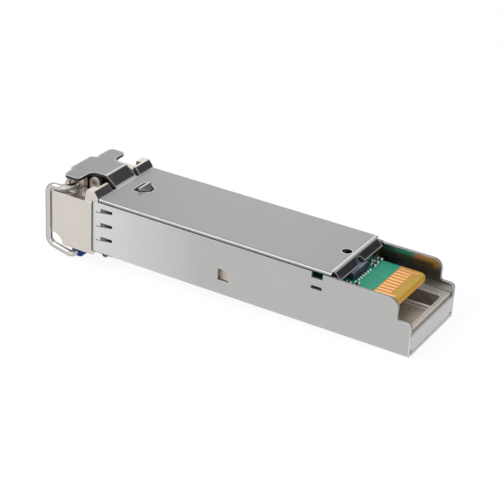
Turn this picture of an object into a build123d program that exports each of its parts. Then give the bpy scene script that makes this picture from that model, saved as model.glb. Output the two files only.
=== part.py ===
from build123d import *
import os
from math import cos, radians, sin

os.makedirs("parts", exist_ok=True)

# Frame: X runs from the fibre ports to the card edge, Z points out of the latch face.
# X = 0 is the flat shoulder of the latch boss, Z = 0 the label face, Y = 0 the middle plane.

# Body envelope
body_width = 13.4
body_height = 8.5
rear_x = 45.0
sheet = 0.4
seam_gap = 0.06
cover_seam = 0.18
bend_radius = 0.5

# Nose casting
nose_proud = 0.15
nose_front = -10.6
nose_rear = -3.95
nose_bottom = -0.45
nose_drop = 0.85
nose_edge_radius = 0.35
notch_radius = 1.75
insert_rear = 3.8
insert_clearance = 0.05
front_wall = 0.75
upstand_top_front = -9.7
upstand_top_rear = -9.3
groove_depth = 0.5
groove_gap = 0.3
groove_wall = 1.15

# Fibre ports
port_pitch = 6.25
port_width = 4.6
port_height = 4.7
port_z = 3.7
port_back = -4.2
port_lead_in = 0.3
key_slot_width = 2.0
key_slot_depth = 0.7
key_slot_length = 3.4

# Posts behind the nose
post_gap = 0.15
post_inset = 0.1
post_blend = 0.15
post_chamfer = 0.3
post_front = -5.1
post_ridge_x = -3.6
post_ridge_rise = 0.9
post_foot_x = -2.9
post_block_inner = 5.3
post_ridge_length = 0.4

# Cover with its raised tongue and head
cover_front = -2.8
cover_rear = 33.3
cover_edge_radius = 0.38
flange_depth = 1.4
flange_front = 0.6
flange_rear = 29.5
head_rise = 1.45
head_rear = -6.95
ear_front = -9.5
ear_step_x = -9.85
head_front = -10.2
head_clearance = 0.3
tab_near = 3.3
tab_far = 1.9
tongue_half_width = 2.45
tongue_top_x = -4.65
neck_radius = 1.1
ear_radius = 0.7
relief_radius = 0.28
lip_reach = 0.95
lip_drop = 0.95
lip_inset = 0.7
lip_notch_radius = 0.75
fold_lap = 1.0
hole_x = 32.1
hole_radius = 0.68

# Latch boss and its window
boss_half_width = 1.3
boss_shoulder_length = 0.3
boss_length = 1.35
boss_tip_half_width = 0.4
boss_proud = 0.45
boss_clearance = 0.22
boss_front_clearance = 0.8
boss_corner = 0.1
boss_flat = 0.35
boss_tip_proud = 0.02
boss_root = 0.1

# Side walls
wall_top_rear = 7.8
skirt_x = 42.95
shoulder_z = 4.95
skirt_radius = 1.3
corner_radius = 0.7
lower_corner_radius = 0.5
window_x = 17.45
window_z = 3.1
window_size = 1.7
edge_slot_x = 31.35
edge_slot_length = 1.65
edge_slot_depth = 0.85
key_hole_z = 5.75
key_hole_height = 0.5
gill_front = -3.3
gill_rear = -0.55
gill_first_z = 2.05
gill_pitch = 2.15
gill_count = 3
gill_height = 0.62
gill_rise = 0.35
gill_depth = 1.1
gill_ramp_front = -2.5
rear_flange_height = 2.95
rear_relief = 0.5

# Ground fingers in the label face
finger_count = 3
finger_pitch = 5.3
finger_width = 1.5
finger_sheet = 0.15
finger_proud = 0.6
finger_front = -3.3
finger_root = -0.7
finger_strip_rear = 1.8
finger_clearance = 0.15
finger_bend = 0.3
finger_crown = 0.4
finger_tip_lap = 0.1

# Tray under the board
tray_front = 11.5
tray_floor = 0.6
tray_clearance = 0.1
tray_rail = 1.1
tray_block_front = 33.6
tray_top = 3.6
strip_width = 0.55
strip_chamfer = 0.2
slot_inner = 1.4
slot_outer = 4.75
slot_front = 35.4
slot_radius = 0.7
pocket_depth = 0.5
pocket_rib = 0.28
pocket_wall = 0.5
nub_reach = 0.3

# Circuit board and its contacts
board_bottom = 5.25
board_thickness = 1.0
board_front = 12.0
board_rear = 41.8
board_clearance = 0.3
board_shoulder = 33.2
edge_half_width = 4.6
edge_radius = 0.95
pad_count = 10
pad_pitch = 0.8
pad_width = 0.52
pad_front = 38.2
pad_rear = 40.25
long_pad_rear = 41.1
pad_thickness = 0.05

# Bail wire and grip
wire_radius = 0.475
axle_x = -8.45
axle_drop = 0.3
arm_inset = 0.43
leg_x = -11.55
leg_foot_z = -0.75
crossbar_x = -7.6
crossbar_z = -1.6
axle_bend = 1.9
leg_bend = 1.1
crossbar_bend = 0.6
butt_gap = 0.3
crank_offset = 0.2
crank_angle = 40.0
crank_half_width = 1.7
crank_run = 0.9
crank_bend = 0.9
axle_clearance = 0.05
bail_sides = 12
grip_end_gap = 0.37
grip_width = 1.8
grip_height = 1.6
grip_radius = 0.4

# Latch rocker, pin and spring
pivot_x = -6.2
pivot_rise = 0.05
pin_radius = 0.4
pin_clearance = 0.03
knuckle_radius = 0.8
cheek_radius = 0.9
cheek_thickness = 0.6
cheek_gap = 0.15
latch_cavity_half = 3.15
lever_half_width = 2.2
lever_thickness = 0.6
lever_rear = 2.9
lever_gap = 0.1
tongue_gap = 0.12
tongue_thickness = 0.45
tongue_front = -9.1
ear_rear = -7.25
ear_thickness = 0.95
ear_top_gap = 0.1
cavity_floor_front = 6.55
cavity_floor_rear = 6.1
cavity_step_x = -3.5
cavity_overrun = 0.1
spring_x = -1.5
spring_radius = 0.58
spring_wire = 0.1
spring_turns = 4
spring_end_gap = 0.01
wire_sides = 6
steps_per_turn = 12
spring_pocket_radius = 0.85
spring_seat_z = 4.6

# Optical barrels
nozzle_radius = 1.495
nozzle_front = -6.2
barrel_radius = 1.9
barrel_step = -2.9
barrel_rear = 4.4
barrel_clearance = 0.05
ferrule_radius = 0.64
lip_length = 0.8
sleeve_length = 3.2
sleeve_radius = 0.82
sleeve_slit = 0.16
stub_length = 1.6
aperture_radius = 0.4
clamp_thickness = 0.6
clamp_top = 6.0
clamp_rim = 0.375
can_radius = 2.3
can_length = 3.0
header_radius = 2.7
header_length = 1.0
lead_radius = 0.2
lead_circle = 1.2
lead_count = 4
lead_sides = 8
lead_length = 1.6
flex_thickness = 0.15
flex_half_width = 1.9
flex_gap = 0.5
flex_bottom = 1.6
flex_landing = 2.0

# Parts on the board
driver_centre = (33.05, -0.7)
driver_size = (3.3, 4.4, 0.85)
driver_standoff = 0.1
driver_lead_pitch = 0.65
driver_lead_count = 6
driver_lead = (0.45, 0.25, 0.18)
controller_centre = (24.5, 0.0)
controller_size = (5.0, 5.0, 0.85)
amplifier_centre = (17.6, -2.9)
amplifier_size = (3.0, 3.0, 0.85)
memory_centre = (22.0, 0.0)
memory_size = (3.0, 3.0, 0.9)
passive_size = (0.6, 0.35, 0.35)

cover_bottom = body_height - sheet
nose_top = body_height - nose_drop
head_top = body_height + head_rise
post_ridge_z = body_height + post_ridge_rise
axle_z = body_height - axle_drop
pivot_z = body_height + pivot_rise
wall_top = cover_bottom - cover_seam
half_body = body_width / 2
wall_inner = half_body - sheet
half_nose = half_body + nose_proud
half_insert = half_body - gill_depth - sheet / 2
head_half_width = half_nose - arm_inset - wire_radius - head_clearance
lip_half_width = half_body - lip_inset
tray_half_width = wall_inner - tray_clearance
board_half_width = wall_inner - board_clearance
arm_y = half_nose - arm_inset
grip_half_length = arm_y - crossbar_bend - grip_end_gap
upstand_half_width = latch_cavity_half + ear_thickness
post_inner = latch_cavity_half + post_gap
cheek_inner = lever_half_width + cheek_gap
post_outer = half_nose - post_inset
groove_inner = upstand_half_width + groove_gap
groove_outer = half_nose - groove_wall
groove_bend = (groove_outer - groove_inner) * 3 / 13
pocket_outer = tray_half_width - pocket_wall
shell_front = nose_rear + 0.1
board_top = board_bottom + board_thickness
head_bottom = head_top - sheet
boss_top = body_height + boss_proud
lever_top = cover_bottom - lever_gap
crank_x = axle_x - crank_offset * cos(radians(crank_angle))
crank_z = axle_z - crank_offset * sin(radians(crank_angle))
port_sides = (-1, 1)


def profile(*corners):
    """Fill a closed outline whose corners are (across, up, corner radius)."""
    with BuildLine() as edge_line:
        FilletPolyline(*[(a, b) for a, b, r in corners], radius=[r for a, b, r in corners], close=True)
    make_face(edge_line.edges())


def strip(points, bends, thickness):
    """Fill the edge view of a folded sheet that follows the points with the given bend radii."""
    with BuildLine() as middle:
        FilletPolyline(*points, radius=bends)
    trace(middle.edges(), line_width=thickness)


# Lower shell: one sheet folded into a channel, with the rear flange folded up from the label face
with BuildPart() as lower_shell:
    with BuildSketch(Plane.YZ.offset(shell_front)):
        profile(
            (-half_body, 0, bend_radius),
            (half_body, 0, bend_radius),
            (half_body, wall_top, 0),
            (wall_inner, wall_top, 0),
            (wall_inner, sheet, bend_radius - sheet),
            (-wall_inner, sheet, bend_radius - sheet),
            (-wall_inner, wall_top, 0),
            (-half_body, wall_top, 0),
        )
    extrude(amount=rear_x - shell_front)
    # Inner skins of the lanced gills, ramping inwards to the rear
    for side in port_sides:
        for number in range(gill_count):
            low = gill_first_z + number * gill_pitch
            with BuildSketch(Plane.XY.offset(low + gill_rise - sheet / 2)):
                with BuildLine():
                    Polyline(
                        (gill_ramp_front - sheet, side * wall_inner),
                        (gill_rear, side * wall_inner),
                        (gill_rear, side * (half_body - gill_depth - sheet / 2)),
                        (gill_ramp_front - sheet, side * wall_inner),
                    )
                make_face()
            extrude(amount=gill_height)
    # Rear flange between the side walls, relieved at its lower corners
    with BuildSketch(Plane.YZ.offset(rear_x - sheet)):
        with Locations((0, 0)):
            Rectangle(2 * wall_inner - 2 * seam_gap, rear_flange_height, align=(Align.CENTER, Align.MIN))
    extrude(amount=sheet)
    with BuildSketch(Plane.XZ):
        profile(
            (shell_front, 0, 0),
            (rear_x, 0, lower_corner_radius),
            (rear_x, shoulder_z, corner_radius),
            (skirt_x, shoulder_z, corner_radius / 2),
            (skirt_x, wall_top_rear, skirt_radius),
            (cover_rear + lip_reach, wall_top_rear, 0),
            (cover_rear + lip_reach - 0.3, wall_top, 0),
            (shell_front, wall_top, 0),
        )
    extrude(amount=body_width, both=True, mode=Mode.INTERSECT)
    # Openings in both side walls
    with BuildSketch(Plane.XZ):
        with Locations((window_x, window_z)):
            Rectangle(window_size, window_size)
        with Locations((edge_slot_x, wall_top)):
            Rectangle(edge_slot_length, 2 * edge_slot_depth)
        with Locations((edge_slot_x, key_hole_z)):
            SlotOverall(edge_slot_length, key_hole_height)
    extrude(amount=body_width, both=True, mode=Mode.SUBTRACT)
    with BuildSketch(Plane.XY):
        with GridLocations(0, 2 * (half_body - bend_radius - rear_relief / 2), 1, 2):
            with Locations((rear_x - sheet / 2, 0)):
                Rectangle(2 * sheet, rear_relief)
    extrude(amount=2 * bend_radius, mode=Mode.SUBTRACT)
    for side in port_sides:
        for number in range(gill_count):
            low = gill_first_z + number * gill_pitch
            # The slit runs from the sheet's front edge; its lower edge climbs to the rear
            with BuildSketch(Plane.XZ.offset(-side * half_body)):
                profile(
                    (gill_front, low, 0),
                    (gill_rear, low + gill_rise, gill_height / 5),
                    (gill_rear, low + gill_height + gill_rise / 2, gill_height / 4),
                    (gill_ramp_front, low + gill_height + gill_rise / 3, 0),
                    (gill_ramp_front, low + gill_rise / 2, 0),
                    (gill_front, low + gill_rise / 2, 0),
                )
            extrude(amount=side * sheet / 3, mode=Mode.SUBTRACT)
            with BuildSketch(Plane.XY.offset(low + gill_rise)):
                with BuildLine():
                    Polyline(
                        (gill_ramp_front, side * half_body),
                        (gill_rear, side * half_body),
                        (gill_rear, side * (half_body - gill_depth)),
                        (gill_ramp_front, side * half_body),
                    )
                make_face()
            extrude(amount=gill_height - gill_rise / 2, mode=Mode.SUBTRACT)
    # Windows for the ground fingers
    with BuildSketch(Plane.XY):
        with Locations(((finger_front + finger_root) / 2, 0)):
            with GridLocations(0, finger_pitch, 1, finger_count):
                Rectangle(finger_root - finger_front + 2 * finger_clearance, finger_width + 2 * finger_clearance)
    extrude(amount=sheet, mode=Mode.SUBTRACT)
lower_shell.part.label = "lower_shell"
export_step(lower_shell.part, "parts/lower_shell.step")

# Top cover: plate, inner flanges, rear lip, and the tongue that rises to the head over the latch
with BuildPart() as top_cover:
    with BuildSketch(Plane.XY.offset(cover_bottom)):
        with Locations((cover_front, 0)):
            Rectangle(cover_rear - cover_front, body_width, align=(Align.MIN, Align.CENTER))
    extrude(amount=sheet)
    long_edges = top_cover.edges().filter_by(Axis.X).group_by(Axis.Z)[-1]
    fillet(long_edges, cover_edge_radius)
    for side in port_sides:
        with BuildSketch(Plane.XY.offset(cover_bottom - flange_depth)):
            with Locations((flange_front, side * (wall_inner - seam_gap - sheet / 2))):
                Rectangle(flange_rear - flange_front, sheet, align=(Align.MIN, Align.CENTER))
        extrude(amount=flange_depth)
    with BuildSketch(Plane.XZ):
        strip(
            [
                (cover_rear - fold_lap, body_height - sheet / 2),
                (cover_rear, body_height - sheet / 2),
                (cover_rear + lip_reach, body_height - sheet / 2 - lip_drop),
            ],
            [sheet],
            sheet,
        )
    extrude(amount=lip_half_width, both=True)
    with BuildSketch(Plane.XY.offset(cover_bottom - 2 * lip_drop)):
        with Locations((cover_rear + lip_reach + sheet / 2, 0)):
            Circle(lip_notch_radius)
    extrude(amount=2 * lip_drop + sheet, mode=Mode.SUBTRACT)
    with BuildSketch(Plane.XZ):
        strip(
            [
                (tongue_top_x - fold_lap, head_top - sheet / 2),
                (tongue_top_x, head_top - sheet / 2),
                (cover_front, body_height - sheet / 2),
                (cover_front + fold_lap, body_height - sheet / 2),
            ],
            [sheet, sheet],
            sheet,
        )
    extrude(amount=tongue_half_width, both=True)
    with BuildSketch(Plane.XY.offset(head_bottom)):
        profile(
            (tongue_top_x - sheet, tongue_half_width, 0),
            (head_rear, tongue_half_width, neck_radius),
            (head_rear, head_half_width, ear_radius),
            (ear_front, head_half_width, ear_radius),
            (ear_front, tab_far, 0),
            (head_front, tab_far - relief_radius, relief_radius),
            (head_front, relief_radius - tab_near, relief_radius),
            (ear_step_x, -tab_near, 0),
            (ear_front, -head_half_width, ear_radius),
            (head_rear, -head_half_width, ear_radius),
            (head_rear, -tongue_half_width, neck_radius),
            (tongue_top_x - sheet, -tongue_half_width, 0),
        )
        with Locations((ear_front, tab_far + relief_radius), (ear_step_x, -tab_near - relief_radius)):
            Circle(relief_radius, mode=Mode.SUBTRACT)
    extrude(amount=sheet)
    # Window for the boss and the round hole near the lip
    with BuildSketch(Plane.XY.offset(cover_bottom)):
        profile(
            (-boss_front_clearance, boss_half_width + boss_clearance, 3 * boss_corner),
            (boss_shoulder_length, boss_half_width + boss_clearance, 2 * boss_corner),
            (boss_length + boss_clearance, boss_tip_half_width + boss_clearance / 2, boss_corner),
            (boss_length + boss_clearance, -boss_tip_half_width - boss_clearance / 2, boss_corner),
            (boss_shoulder_length, -boss_half_width - boss_clearance, 2 * boss_corner),
            (-boss_front_clearance, -boss_half_width - boss_clearance, 3 * boss_corner),
        )
        with Locations((hole_x, 0)):
            Circle(hole_radius)
    extrude(amount=sheet, mode=Mode.SUBTRACT)
top_cover.part.label = "top_cover"
export_step(top_cover.part, "parts/top_cover.step")

# Nose casting with the fibre ports, latch cavity, bail ears and posts
insert_bottom = sheet
insert_top = cover_bottom - insert_clearance
ear_top = head_bottom - ear_top_gap
with BuildPart() as nose_housing:
    with BuildSketch(Plane.YZ.offset(nose_front)):
        with Locations((0, nose_bottom)):
            Rectangle(2 * half_nose, nose_top - nose_bottom, align=(Align.CENTER, Align.MIN))
    extrude(amount=nose_rear - nose_front)
    fillet(nose_housing.edges().filter_by(Axis.X).group_by(Axis.Z)[0], nose_edge_radius)
    with BuildSketch(Plane.YZ.offset(nose_rear)):
        with Locations((0, insert_bottom)):
            Rectangle(2 * half_insert, insert_top - insert_bottom, align=(Align.CENTER, Align.MIN))
    extrude(amount=insert_rear - nose_rear)
    # Posts: the part over the side wall's edge stands on the insert
    for side in port_sides:
        with BuildSketch(Plane.XZ.offset(-side * post_inner)):
            profile(
                (post_front, nose_top - groove_depth, 0),
                (nose_rear, nose_top - groove_depth, 0),
                (nose_rear, wall_top + seam_gap, 0),
                (post_foot_x, wall_top + seam_gap, 0),
                (post_foot_x, body_height, 0),
                (post_ridge_x, post_ridge_z, post_blend),
                (post_front + post_chamfer, post_ridge_z, post_blend),
                (post_front, nose_top + 0.4, 0),
            )
        extrude(amount=-side * (post_outer - post_inner))
        # Only the outer part is a full block, the inner part is a thin ridge
        with BuildSketch(Plane.XZ.offset(-side * post_inner)):
            with Locations((post_ridge_x - post_ridge_length, nose_top)):
                Rectangle(post_ridge_x - post_front, body_height, align=(Align.MAX, Align.MIN))
        extrude(amount=-side * (post_block_inner - post_inner), mode=Mode.SUBTRACT)
    # Sloped upstand across the front that carries the head of the cover
    with BuildSketch(Plane.XZ):
        profile(
            (nose_front, nose_top - groove_depth, 0),
            (nose_front, nose_top, 0),
            (upstand_top_front, head_bottom, 0),
            (upstand_top_rear, head_bottom, 0),
            (nose_front + front_wall, nose_top, 0),
            (nose_front + front_wall, nose_top - groove_depth, 0),
        )
    extrude(amount=upstand_half_width, both=True)
    # Ears for the bail's axle
    for side in port_sides:
        with BuildSketch(Plane.XZ.offset(-side * latch_cavity_half)):
            profile(
                (axle_x - 1.0, nose_top - groove_depth, 0),
                (ear_rear, nose_top - groove_depth, 0),
                (ear_rear, ear_top, 0.25),
                (axle_x - 1.0, ear_top, 0.35),
            )
        extrude(amount=-side * ear_thickness)
    # Latch cavity, deeper behind the ports
    with BuildSketch(Plane.XZ):
        profile(
            (nose_front + front_wall, cavity_floor_front, 0.3),
            (cavity_step_x, cavity_floor_front, 0),
            (cavity_step_x, cavity_floor_rear, 0),
            (insert_rear + cavity_overrun, cavity_floor_rear, 0),
            (insert_rear + cavity_overrun, body_height, 0),
            (nose_front + front_wall, body_height, 0),
        )
    extrude(amount=latch_cavity_half, both=True, mode=Mode.SUBTRACT)
    # Round cheeks for the rocker's pin, standing on the cavity floor
    for side in port_sides:
        with BuildSketch(Plane.XZ.offset(-side * cheek_inner)):
            with Locations((pivot_x, pivot_z)):
                Circle(cheek_radius)
                Rectangle(2 * cheek_radius, pivot_z - cavity_floor_rear, align=(Align.CENTER, Align.MAX))
        extrude(amount=-side * cheek_thickness)
    # Grooves beside the ears, with round rear ends, under the bail's arms
    for side in port_sides:
        with BuildSketch(Plane.XY.offset(nose_top - groove_depth)):
            profile(
                (nose_front + front_wall, side * groove_inner, 0),
                (post_front, side * groove_inner, groove_bend),
                (post_front, side * groove_outer, 2 * groove_bend),
                (nose_front + front_wall, side * groove_outer, 0),
            )
        extrude(amount=groove_depth, mode=Mode.SUBTRACT)
    # Bores for the bail's axle and the rocker's pin
    with BuildSketch(Plane.XZ):
        with Locations((axle_x, axle_z)):
            Circle(wire_radius + axle_clearance)
        with Locations((pivot_x, pivot_z)):
            Circle(pin_radius)
    extrude(amount=half_body, both=True, mode=Mode.SUBTRACT)
    # Fibre ports with lead-in, latch slot, and bores for the barrels
    for side in port_sides:
        port_y = side * port_pitch / 2
        with BuildSketch(Plane.YZ.offset(nose_front)):
            with Locations((port_y, port_z)):
                Rectangle(port_width, port_height)
        extrude(amount=port_back - nose_front, mode=Mode.SUBTRACT)
        with BuildSketch(Plane.YZ.offset(nose_front)):
            with Locations((port_y, port_z)):
                Rectangle(port_width + 2 * port_lead_in, port_height + 2 * port_lead_in)
        extrude(amount=port_lead_in, taper=45, mode=Mode.SUBTRACT)
        with BuildSketch(Plane.YZ.offset(nose_front)):
            with Locations((port_y, port_z - port_height / 2)):
                Rectangle(key_slot_width, key_slot_depth, align=(Align.CENTER, Align.MAX))
        extrude(amount=key_slot_length, mode=Mode.SUBTRACT)
        with BuildSketch(Plane.YZ.offset(port_back)):
            with Locations((port_y, port_z)):
                Circle(nozzle_radius + barrel_clearance)
        extrude(amount=barrel_step - port_back, mode=Mode.SUBTRACT)
        with BuildSketch(Plane.YZ.offset(barrel_step)):
            with Locations((port_y, port_z)):
                Circle(barrel_radius + barrel_clearance)
        extrude(amount=insert_rear - barrel_step, mode=Mode.SUBTRACT)
    # Round notch along the lower front edge, where the crossbar swings past
    with BuildSketch(Plane.XZ):
        with Locations((nose_front, nose_bottom)):
            Circle(notch_radius)
    extrude(amount=body_width, both=True, mode=Mode.SUBTRACT)
    # Pocket of the return spring and recess over the ground fingers
    with BuildSketch(Plane.XY.offset(spring_seat_z)):
        with Locations((spring_x, 0)):
            Circle(spring_pocket_radius)
    extrude(amount=cavity_floor_rear - spring_seat_z, mode=Mode.SUBTRACT)
    with BuildSketch(Plane.XY.offset(insert_bottom)):
        with Locations((nose_rear + sheet, 0)):
            Rectangle(finger_strip_rear - nose_rear, 2 * half_insert, align=(Align.MIN, Align.CENTER))
    extrude(amount=finger_sheet + finger_clearance, mode=Mode.SUBTRACT)
nose_housing.part.label = "nose_housing"
export_step(nose_housing.part, "parts/nose_housing.step")

# Tray that carries the board, open above at the card edge
tray_rear = rear_x - sheet - 0.05
with BuildPart() as base_tray:
    with BuildSketch(Plane.XY.offset(sheet)):
        with Locations((tray_front, 0)):
            Rectangle(tray_rear - tray_front, 2 * tray_half_width, align=(Align.MIN, Align.CENTER))
    extrude(amount=tray_floor)
    for side in port_sides:
        with BuildSketch(Plane.XY.offset(sheet)):
            with Locations((tray_front, side * (tray_half_width - tray_rail / 2))):
                Rectangle(board_shoulder - tray_front, tray_rail, align=(Align.MIN, Align.CENTER))
        extrude(amount=board_bottom - sheet)
        # Snap nub that fills the window of the side wall
        with BuildSketch(Plane.XY.offset(window_z - window_size / 2 + 0.1)):
            with BuildLine():
                Polyline(
                    (window_x - window_size / 2 + 0.1, side * tray_half_width),
                    (window_x + window_size / 2 - 0.1, side * (tray_half_width + nub_reach)),
                    (window_x + window_size / 2 - 0.1, side * (tray_half_width - 0.1)),
                    (window_x - window_size / 2 + 0.1, side * (tray_half_width - 0.1)),
                    (window_x - window_size / 2 + 0.1, side * tray_half_width),
                )
            make_face()
        extrude(amount=window_size - 0.2)
    with BuildSketch(Plane.XY.offset(sheet)):
        with Locations((tray_block_front, 0)):
            Rectangle(tray_rear - tray_block_front, 2 * tray_half_width, align=(Align.MIN, Align.CENTER))
    extrude(amount=tray_top - sheet)
    strip_front = tray_rear - strip_width
    with BuildSketch(Plane.XY.offset(tray_top)):
        profile(
            (slot_front, slot_inner, 0),
            (strip_front, slot_inner, 0.15),
            (strip_front, slot_outer, slot_radius),
            (slot_front, slot_outer, 0),
        )
    extrude(amount=sheet + tray_floor - tray_top, mode=Mode.SUBTRACT)
    with BuildSketch(Plane.XY.offset(tray_top)):
        profile(
            (slot_front, slot_inner - pocket_rib, 0.3),
            (strip_front, slot_inner - pocket_rib, 0.2),
            (strip_front, -pocket_outer, 0.5),
            (slot_front, -pocket_outer, 0.3),
        )
    extrude(amount=-pocket_depth, mode=Mode.SUBTRACT)
    top_rear_edge = base_tray.edges().filter_by(Axis.Y).group_by(Axis.Z)[-1].sort_by(Axis.X)[-1]
    chamfer(top_rear_edge, strip_chamfer)
base_tray.part.label = "base_tray"
export_step(base_tray.part, "parts/base_tray.step")

# Ground fingers: one thin strip inside the label face, its fingers bowed out through windows
with BuildPart() as ground_fingers:
    strip_z = sheet + finger_sheet / 2
    with BuildSketch(Plane.XY.offset(sheet)):
        with Locations((finger_root + finger_clearance + sheet, 0)):
            Rectangle(
                finger_strip_rear - finger_root - finger_clearance - sheet,
                finger_pitch * (finger_count - 1) + finger_width,
                align=(Align.MIN, Align.CENTER),
            )
    extrude(amount=finger_sheet)
    for number in range(finger_count):
        finger_y = (number - (finger_count - 1) / 2) * finger_pitch
        with BuildSketch(Plane.XZ.offset(-finger_y)):
            strip(
                [
                    (finger_strip_rear - sheet / 2, strip_z),
                    (finger_root, strip_z),
                    ((finger_front + finger_root) / 2, -finger_proud + finger_sheet / 2),
                    (finger_front + finger_tip_lap, sheet / 2),
                ],
                [finger_bend, finger_crown],
                finger_sheet,
            )
        extrude(amount=finger_width / 2, both=True)
ground_fingers.part.label = "ground_fingers"
export_step(ground_fingers.part, "parts/ground_fingers.step")

# Bail: one bent wire, its two ends butting inside the grip
half_path = [
    (crossbar_x, -butt_gap / 2, crossbar_z),
    (crossbar_x, -arm_y, crossbar_z),
    (leg_x, -arm_y, leg_foot_z),
    (leg_x, -arm_y, axle_z),
    (axle_x, -arm_y, axle_z),
    (axle_x, -crank_half_width - crank_run, axle_z),
    (crank_x, -crank_half_width, crank_z),
]
half_bends = [crossbar_bend, leg_bend, leg_bend, axle_bend, crank_bend, crank_bend]
mirrored_path = [(x, -y, z) for x, y, z in reversed(half_path)]
with BuildPart() as bail:
    with BuildLine() as wire_path:
        FilletPolyline(*half_path, *mirrored_path, radius=half_bends + half_bends[::-1])
    with BuildSketch(Plane(origin=wire_path.wires()[0] @ 0, z_dir=wire_path.wires()[0] % 0)):
        RegularPolygon(wire_radius, bail_sides)
    sweep(path=wire_path.wires()[0])
bail.part.label = "bail"
export_step(bail.part, "parts/bail.step")

# Grip: plastic sleeve moulded round the crossbar
with BuildPart() as bail_grip:
    with BuildSketch(Plane.XZ.offset(-grip_half_length)):
        with Locations((crossbar_x, crossbar_z)):
            RectangleRounded(grip_width, grip_height, grip_radius)
    extrude(amount=2 * grip_half_length)
    chamfer(bail_grip.faces().filter_by(Axis.Y).edges(), grip_radius / 2)
    with BuildSketch(Plane.XZ.offset(-grip_half_length)):
        with Locations((crossbar_x, crossbar_z)):
            Circle(wire_radius)
    extrude(amount=2 * grip_half_length, mode=Mode.SUBTRACT)
bail_grip.part.label = "bail_grip"
export_step(bail_grip.part, "parts/bail_grip.step")

# Rocker: front tongue over the crank, knuckle on the pin, rear arm with the latch boss
tongue_bottom = crank_z + wire_radius + tongue_gap
arm_bottom = lever_top - lever_thickness
with BuildPart() as latch_lever:
    with BuildSketch(Plane.XZ):
        profile(
            (pivot_x, lever_top, 0),
            (lever_rear, lever_top, 0.15),
            (lever_rear, arm_bottom, 0.15),
            (pivot_x + 0.3, arm_bottom, 0.4),
            (pivot_x - knuckle_radius / 2, pivot_z - knuckle_radius / 2, 0),
        )
    extrude(amount=lever_half_width, both=True)
    with BuildSketch(Plane.XZ):
        with Locations((pivot_x, pivot_z)):
            Circle(knuckle_radius)
    extrude(amount=lever_half_width, both=True)
    with BuildSketch(Plane.XZ):
        profile(
            (tongue_front, tongue_bottom, 0.15),
            (pivot_x, tongue_bottom, 0),
            (pivot_x, tongue_bottom + tongue_thickness, 0),
            (tongue_front, tongue_bottom + tongue_thickness, 0.15),
        )
    extrude(amount=crank_half_width - 0.2, both=True)
    with BuildSketch(Plane.XY.offset(arm_bottom + boss_root)):
        with BuildLine():
            Polyline(
                (0, boss_half_width),
                (boss_shoulder_length, boss_half_width),
                (boss_length, boss_tip_half_width),
                (boss_length, -boss_tip_half_width),
                (boss_shoulder_length, -boss_half_width),
                (0, -boss_half_width),
                (0, boss_half_width),
            )
        make_face()
    extrude(amount=boss_top - arm_bottom - boss_root)
    # The boss is flat at its shoulder and ramps down to its tip
    with BuildSketch(Plane.XZ):
        with BuildLine():
            Polyline(
                (boss_flat, boss_top),
                (boss_length, body_height + boss_tip_proud),
                (boss_length + sheet, body_height + boss_tip_proud),
                (boss_length + sheet, boss_top + sheet),
                (boss_flat, boss_top + sheet),
                (boss_flat, boss_top),
            )
        make_face()
    extrude(amount=lever_half_width, both=True, mode=Mode.SUBTRACT)
    with BuildSketch(Plane.XZ):
        with Locations((pivot_x, pivot_z)):
            Circle(pin_radius + pin_clearance)
    extrude(amount=lever_half_width, both=True, mode=Mode.SUBTRACT)
latch_lever.part.label = "latch_lever"
export_step(latch_lever.part, "parts/latch_lever.step")

with BuildPart() as latch_pivot_pin:
    with BuildSketch(Plane.XZ):
        with Locations((pivot_x, pivot_z)):
            Circle(pin_radius)
    extrude(amount=cheek_inner + cheek_thickness, both=True)
    chamfer(latch_pivot_pin.faces().filter_by(Axis.Y).edges(), 0.08)
latch_pivot_pin.part.label = "latch_pivot_pin"
export_step(latch_pivot_pin.part, "parts/latch_pivot_pin.step")

# Return spring between the nose and the rocker's rear arm
spring_height = arm_bottom - spring_seat_z - 2 * spring_wire - 2 * spring_end_gap
with BuildPart() as latch_spring:
    coil_points = []
    for step in range(spring_turns * steps_per_turn + 1):
        angle = radians(360 * step / steps_per_turn)
        coil_points.append(
            (
                spring_x + spring_radius * cos(angle),
                spring_radius * sin(angle),
                spring_seat_z + spring_wire + spring_end_gap
                + spring_height * step / (spring_turns * steps_per_turn),
            )
        )
    with BuildLine() as coil:
        Polyline(*coil_points)
    with BuildSketch(Plane(origin=coil_points[0], z_dir=coil.wires()[0] % 0)):
        RegularPolygon(spring_wire, wire_sides)
    sweep(path=coil.wires()[0], transition=Transition.RIGHT)
latch_spring.part.label = "latch_spring"
export_step(latch_spring.part, "parts/latch_spring.step")

# Circuit board with the narrower card edge
with BuildPart() as circuit_board:
    with BuildSketch(Plane.XY.offset(board_bottom)):
        profile(
            (board_front, -board_half_width, 0),
            (board_shoulder, -board_half_width, 0.3),
            (board_shoulder, -edge_half_width, 0.4),
            (board_rear, -edge_half_width, edge_radius),
            (board_rear, edge_half_width, edge_radius),
            (board_shoulder, edge_half_width, 0.4),
            (board_shoulder, board_half_width, 0.3),
            (board_front, board_half_width, 0),
        )
    extrude(amount=board_thickness)
    end_edges = circuit_board.faces().sort_by(Axis.X)[-1].edges().filter_by(Axis.Y)
    chamfer(end_edges, 0.2)
circuit_board.part.label = "circuit_board"
export_step(circuit_board.part, "parts/circuit_board.step")


def pad_row(plane):
    """Sketch one row of contact pads, the two outer ones longer."""
    with BuildSketch(plane) as row:
        for number in range(pad_count):
            pad_y = (number - (pad_count - 1) / 2) * pad_pitch
            outer = number in (0, pad_count - 1)
            length = (long_pad_rear if outer else pad_rear) - pad_front
            with Locations((pad_front, pad_y)):
                Rectangle(length, pad_width, align=(Align.MIN, Align.CENTER))
    return row.sketch


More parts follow.
